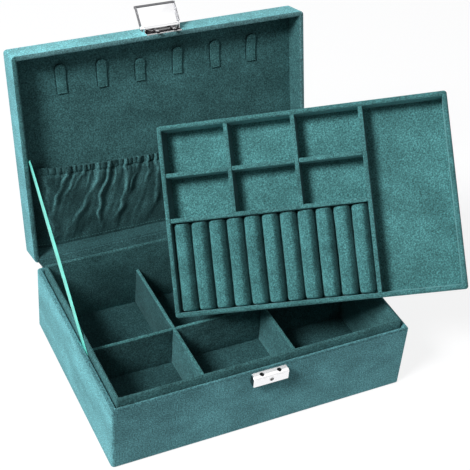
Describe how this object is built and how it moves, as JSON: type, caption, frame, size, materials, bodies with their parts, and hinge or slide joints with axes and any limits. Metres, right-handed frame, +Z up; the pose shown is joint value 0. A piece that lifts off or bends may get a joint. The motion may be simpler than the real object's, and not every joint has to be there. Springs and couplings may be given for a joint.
{
  "type": "tiered jewelry box",
  "caption": "Hinged velvet jewelry box with a lined base of open cells, a lift-out tray with ring rolls, a lid pocket, necklace tabs and a metal lock.",
  "frame": {"origin": "middle of the base's underside", "axes": "+Z up, +Y towards the hinges at the back, +X to the right seen from the front"},
  "size_m": [0.3298, 0.2683, 0.2552],
  "materials": {
    "case_fabric": "short velvet pile, wrapped over board",
    "lining_fabric": "short velvet pile, darker in the hollows",
    "tray_fabric": "short velvet pile",
    "pocket_cloth": "thin gathered velvet with a soft sheen",
    "ring_foam": "velvet over soft foam",
    "ribbon": "satin ribbon",
    "lock_metal": "bright nickel plate",
    "hinge_metal": "plated steel"
  },
  "bodies": {
    "base": {"base_shell": "case_fabric", "base_liner": "lining_fabric", "base_floor": "lining_fabric", "long_divider": "lining_fabric", "cross_divider_left": "lining_fabric", "cross_divider_right": "lining_fabric", "lock_case": "lock_metal", "hinge_leaf_base_left": "hinge_metal", "hinge_leaf_base_right": "hinge_metal", "hinge_pin_left": "hinge_metal", "hinge_pin_right": "hinge_metal", "hinge_screws_base": "hinge_metal", "ribbon_left": "ribbon", "ribbon_right": "ribbon"},
    "lid": {"lid_shell": "case_fabric", "lid_panel": "lining_fabric", "lid_pocket": "pocket_cloth", "necklace_tab_1": "lining_fabric", "necklace_tab_2": "lining_fabric", "necklace_tab_3": "lining_fabric", "necklace_tab_4": "lining_fabric", "necklace_tab_5": "lining_fabric", "necklace_tab_6": "lining_fabric", "hinge_leaf_lid_left": "hinge_metal", "hinge_leaf_lid_right": "hinge_metal", "hinge_screws_lid": "hinge_metal", "hasp_plate": "lock_metal", "hasp_pin": "lock_metal", "hasp_hooks": "lock_metal"},
    "hasp": {"hasp_flap": "lock_metal"},
    "plug": {"lock_plug": "lock_metal"},
    "bolt": {"lock_bolt": "hinge_metal"},
    "tray": {"tray_walls": "tray_fabric", "tray_floor": "tray_fabric", "tray_long_divider": "tray_fabric", "tray_ring_divider": "tray_fabric", "tray_row_divider": "tray_fabric", "tray_column_divider_left": "tray_fabric", "tray_column_divider_right": "tray_fabric", "ring_roll_01": "ring_foam", "ring_roll_02": "ring_foam", "ring_roll_03": "ring_foam", "ring_roll_04": "ring_foam", "ring_roll_05": "ring_foam", "ring_roll_06": "ring_foam", "ring_roll_07": "ring_foam", "ring_roll_08": "ring_foam", "ring_roll_09": "ring_foam", "ring_roll_10": "ring_foam", "ring_roll_11": "ring_foam"}
  },
  "joints": [
    {"name": "lid_hinge", "type": "hinge", "parent": "base", "child": "lid", "pos_m": [0, 0.0922, 0.0624], "axis": [1, 0, 0], "range_deg": [0, 103.9], "deforming": ["ribbon_left", "ribbon_right"]},
    {"name": "tray_lift", "type": "slide", "parent": "base", "child": "tray", "axis": [0, -0.766, 0.6428], "range_m": [0, 0.45]},
    {"name": "hasp_hinge", "type": "hinge", "parent": "lid", "child": "hasp", "pos_m": [0, 0.14392, 0.24142], "axis": [1, 0, 0], "range_deg": [0, 123.1]},
    {"name": "lock_turn", "type": "hinge", "parent": "base", "child": "plug", "pos_m": [0, -0.0965, 0.056], "axis": [0, 1, 0], "range_deg": [0, 90]},
    {"name": "bolt_slide", "type": "slide", "parent": "base", "child": "bolt", "axis": [-1, 0, 0], "range_m": [0, 0.0012]}
  ],
  "couplings": [
    {"joint": "lid_hinge", "follows": "tray_lift", "rad_per_m": 4.0298},
    {"joint": "lock_turn", "follows": "bolt_slide", "rad_per_m": 1309}
  ]
}
